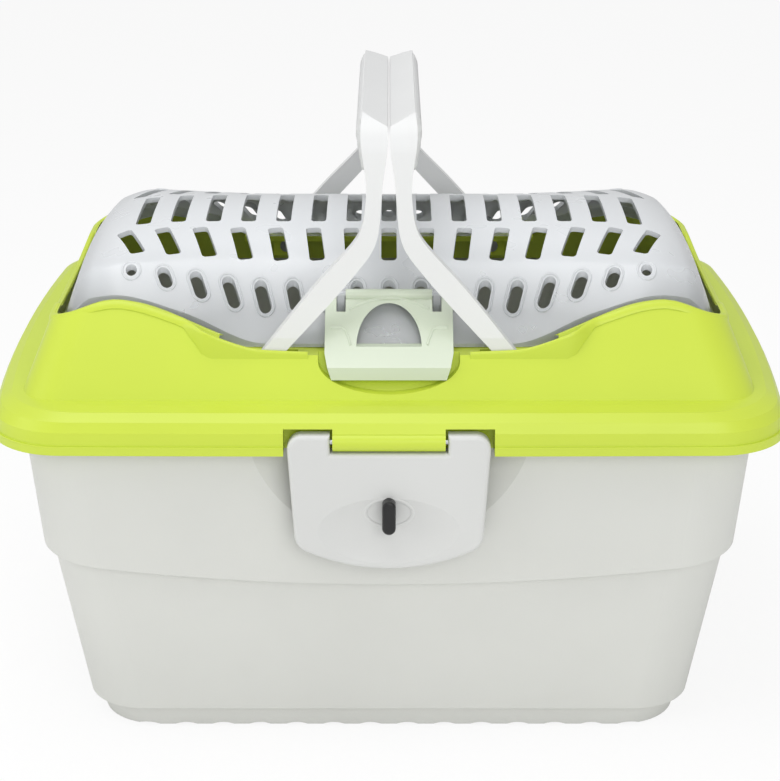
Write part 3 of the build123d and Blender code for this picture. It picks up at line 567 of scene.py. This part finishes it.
# Lid: the rolled lip that follows the wavy edge of the opening. The body's half width and
# half depth at its foot, and how much both lose with each millimetre of height.
BODY_FOOT, BODY_HALF, BODY_SLOPE, BODY_ROUND = 200.0, (198.0, 134.0), (0.4, 0.72), 26.0
FRONT_WAVE = [(0.0, 221.2), (66.0, 223.0), (108.0, 236.0),
              (148.0, 245.0), (176.0, 237.0), (206.0, 222.0)]
SIDE_WAVE = [(0.0, 222.0), (42.0, 224.0), (74.0, 236.0), (96.0, 252.0), (122.0, 266.0)]
FIRST_GUESS, GUESSES = 230.0, 6
CORNER_STEPS, LONG_STEPS, SHORT_STEPS = 14, 60, 40
LIP_SIDES = (((1, 1), (1, 0)), ((-1, 1), (0, 1)), ((-1, -1), (-1, 0)), ((1, -1), (0, -1)))
LONG_SIDE = 100.0
FACES_LONG_WAY, FACES_DEAD_AHEAD = 0.7, 0.9
POCKET_HALF = 43.0
# The lip's section over the body, and where it guards the slots of the handles' legs: outward
# and upward from the edge. The guard stands at one depth and reaches down to one height.
WRAP = [(-0.2, -3.2), (0.7, -2.8), (1.1, -1.2), (1.0, 0.2),
        (0.4, 0.8), (-1.4, 0.8), (-2.1, 0.2), (-2.0, -1.0)]
GUARD = [(0.0, -4.2), (1.5, -4.0), (1.6, -1.2), (1.4, 0.3),
         (1.0, 0.7), (0.4, 0.7), (0.0, 0.3), (0.0, -1.0)]
GUARD_DEPTH, GUARD_FOOT = 118.75, 219.2
GUARD_HALF, GUARD_BLEND = 112.0, 16.0
GUARD_LOW_POINTS = -2.0


def lip_point(share, normal):
    """Where the lid's outer face meets the wavy edge, for one place on its outline."""
    z = FIRST_GUESS
    for _ in range(GUESSES):
        wide, deep = (half - slope * (z - BODY_FOOT) for half, slope in zip(BODY_HALF, BODY_SLOPE))
        x = share[0] * (wide - BODY_ROUND) + normal[0] * BODY_ROUND
        y = share[1] * (deep - BODY_ROUND) + normal[1] * BODY_ROUND
        z = min(steady(FRONT_WAVE, 1, abs(x)), steady(SIDE_WAVE, 1, abs(y)))
    return x, y, z


def lip_places():
    """Places round a rounded rectangle: a share of each flat half side, and the way out."""
    for side, (corner, along) in enumerate(LIP_SIDES):
        for k in range(CORNER_STEPS):
            turn = math.pi / 2 * (side + k / CORNER_STEPS)
            yield corner, (math.cos(turn), math.sin(turn))
        out = (-along[1], along[0])
        steps = LONG_STEPS if along[0] else SHORT_STEPS
        for k in range(steps):
            t = 1 - 2 * k / steps
            yield (along[0] * t + out[0], along[1] * t + out[1]), out


def lip_section(x, y, z, normal):
    """The lip's section at one place, turned from the wrap to the guard beside a leg's slot."""
    guarded = abs(y) > LONG_SIDE and abs(normal[1]) > FACES_DEAD_AHEAD
    near = eased((GUARD_HALF - abs(x)) / GUARD_BLEND) if guarded else 0.0
    slope = BODY_SLOPE[1] if abs(normal[1]) > FACES_LONG_WAY else BODY_SLOPE[0]
    section = []
    for (out, up), (guard_out, guard_up) in zip(WRAP, GUARD):
        away = out - up * slope
        wrap_x, wrap_y = x + normal[0] * away, y + normal[1] * away
        guard_y = math.copysign(GUARD_DEPTH + guard_out, y)
        guard_z = z + guard_up
        if guard_up <= GUARD_LOW_POINTS:
            guard_z = min(guard_z, GUARD_FOOT)
        section.append(metres(wrap_x + (x - wrap_x) * near,
                              wrap_y + (guard_y - wrap_y) * near,
                              z + up + (guard_z - z - up) * near))
    return section


def make_lip(material):
    """The lip in one run round the opening, from one end of the latch's pocket to the other."""
    runs = [[]]
    for share, normal in lip_places():
        x, y, z = lip_point(share, normal)
        if y > -LONG_SIDE or abs(x) >= POCKET_HALF:
            runs[-1].append(lip_section(x, y, z, normal))
        elif len(runs) == 1:
            runs.append([])
    before, after = runs
    mesh = new_mesh("lid_lip", *strip(after + before, False))
    finish_mesh("lid_lip", mesh, "lid", material, sharp=50.0)


# Grips: a proud pad of crossed ribs on the outer side of each. Each row: place along the pad's
# outline in end view, distance from the middle, height.
PAD_LINE = [(0.0, 11.4, 311.5), (1.0, 13.6, 312.5), (2.0, 15.0, 318.0),
            (3.0, 16.2, 325.0), (4.0, 16.9, 332.0), (5.0, 16.6, 337.5),
            (6.0, 15.2, 341.8), (7.0, 13.4, 344.0), (8.0, 11.2, 343.4)]
PAD_ROWS, PAD_COLUMNS = 337, 29
PAD_BACK = 11.0
PAD_REACH, PAD_END = 84.0, 5.0
RIB_PITCH, RIB_HEIGHT = 6.5, 0.75
RIB_START, RIB_RAMP = 0.35, 0.35


def rib_height(y, z):
    """How far the crossed ribs stand out at one place on the pad."""
    waves = [math.cos(2 * math.pi * (y + sign * z) / RIB_PITCH) for sign in (1, -1)]
    return RIB_HEIGHT * min(1.0, max(0.0, (max(waves) - RIB_START) / RIB_RAMP))


def grip_pad(side, material):
    verts, faces = [], []
    for i in range(PAD_ROWS):
        y = -PAD_REACH + 2 * PAD_REACH * i / (PAD_ROWS - 1)
        fade = min(1.0, (PAD_REACH - abs(y)) / PAD_END)
        fade = math.sqrt(max(0.0, 1 - (1 - fade) ** 2))
        for k in range(PAD_COLUMNS):
            t = PAD_LINE[-1][0] * k / (PAD_COLUMNS - 1)
            x, z = steady(PAD_LINE, 1, t), steady(PAD_LINE, 2, t)
            rib = rib_height(y, z) if 0 < k < PAD_COLUMNS - 1 else 0.0
            verts.append(metres(side * (PAD_BACK + (x - PAD_BACK + rib) * fade), y, z))
    for i in range(PAD_ROWS - 1):
        for k in range(PAD_COLUMNS):
            n = (k + 1) % PAD_COLUMNS
            a, b = i * PAD_COLUMNS, (i + 1) * PAD_COLUMNS
            face = (a + k, a + n, b + n, b + k)
            faces.append(face if side > 0 else tuple(reversed(face)))
    hand = "left" if side < 0 else "right"
    mesh = new_mesh(f"{hand}_grip_pad", verts, faces)
    finish_mesh(f"{hand}_grip_pad", mesh, f"{hand}_handle", material, sharp=75.0)


# Studio: a pale floor, a white surround for the camera and three soft lamps.
FLOOR_SIZE, FLOOR_DROP = 40.0, 0.0005
FLOOR_TONE = 0.95
FLOOR_GLOW = 0.86
WORLD_LIGHT = 0.55
WHITE = (1.0, 1.0, 1.0, 1.0)


def make_floor():
    """A plane whose pale face is partly replaced by plain white, for the camera only."""
    bpy.ops.mesh.primitive_plane_add(size=FLOOR_SIZE, location=(0, 0, -FLOOR_DROP))
    floor = bpy.context.object
    floor.name = "floor"
    material = bpy.data.materials.new("floor")
    material.use_nodes = True
    tree = material.node_tree
    tree.nodes.clear()
    diffuse = tree.nodes.new("ShaderNodeBsdfDiffuse")
    diffuse.inputs["Color"].default_value = (FLOOR_TONE, FLOOR_TONE, FLOOR_TONE, 1.0)
    glow = tree.nodes.new("ShaderNodeEmission")
    glow.inputs["Color"].default_value = WHITE
    scale = tree.nodes.new("ShaderNodeMath")
    scale.operation = "MULTIPLY"
    scale.inputs[1].default_value = FLOOR_GLOW
    tree.links.new(camera_ray(tree), scale.inputs[0])
    out = tree.nodes.new("ShaderNodeOutputMaterial")
    blend(tree, scale.outputs["Value"], diffuse.outputs["BSDF"], glow.outputs["Emission"], out)
    floor.data.materials.append(material)


def make_world():
    """Even white light, and a plain white surround where the camera looks past the floor."""
    world = bpy.data.worlds.new("studio")
    world.use_nodes = True
    bpy.context.scene.world = world
    tree = world.node_tree
    light = tree.nodes["Background"]
    light.inputs["Color"].default_value = WHITE
    light.inputs["Strength"].default_value = WORLD_LIGHT
    seen = tree.nodes.new("ShaderNodeBackground")
    seen.inputs["Color"].default_value = WHITE
    seen.inputs["Strength"].default_value = 1.0
    out = tree.nodes["World Output"]
    blend(tree, camera_ray(tree), light.outputs["Background"], seen.outputs["Background"], out)


def camera_ray(tree):
    return tree.nodes.new("ShaderNodeLightPath").outputs["Is Camera Ray"]


def blend(tree, share, first, second, out):
    """Sends a mix of two shaders to an output's surface."""
    mix = tree.nodes.new("ShaderNodeMixShader")
    tree.links.new(share, mix.inputs["Fac"])
    tree.links.new(first, mix.inputs[1])
    tree.links.new(second, mix.inputs[2])
    tree.links.new(mix.outputs["Shader"], out.inputs["Surface"])


def lamp(name, place, aim, size, power):
    """A rectangular lamp that faces a point."""
    data = bpy.data.lights.new(name, "AREA")
    data.shape = "RECTANGLE"
    data.size, data.size_y = size
    data.energy = power
    light = bpy.data.objects.new(name, data)
    light.location = place
    dx, dy, dz = (b - a for a, b in zip(place, aim))
    light.rotation_euler = (math.atan2(math.hypot(dx, dy), -dz), 0.0, math.atan2(-dx, dy))
    bpy.context.scene.collection.objects.link(light)


# The scene itself.
bpy.context.scene.view_settings.view_transform = "Standard"
make_camera()
finishes = make_materials()
for node, (width, facets) in EDGE_ROUNDS.items():
    round_edges(nodes[node], width, facets)
roof_surface = make_roof(finishes["frosted"])
slot_rims(roof_surface, finishes["frosted"])
roof_lugs(finishes["frosted"])
latch_lines(finishes["latch"])
knob_dimple(finishes["clasp"])
make_lip(finishes["lime"])
grip_pad(-1, finishes["white"])
grip_pad(1, finishes["white"])
make_floor()
make_world()
lamp("top", (-0.25, -0.15, 1.5), (0, 0, 0.1), (1.3, 1.1), 9.0)
lamp("front", (0.5, -1.6, 0.9), (0, 0, 0.15), (1.2, 0.9), 9.0)
lamp("side", (-1.5, -0.6, 0.7), (0, 0, 0.15), (0.9, 0.9), 5.0)
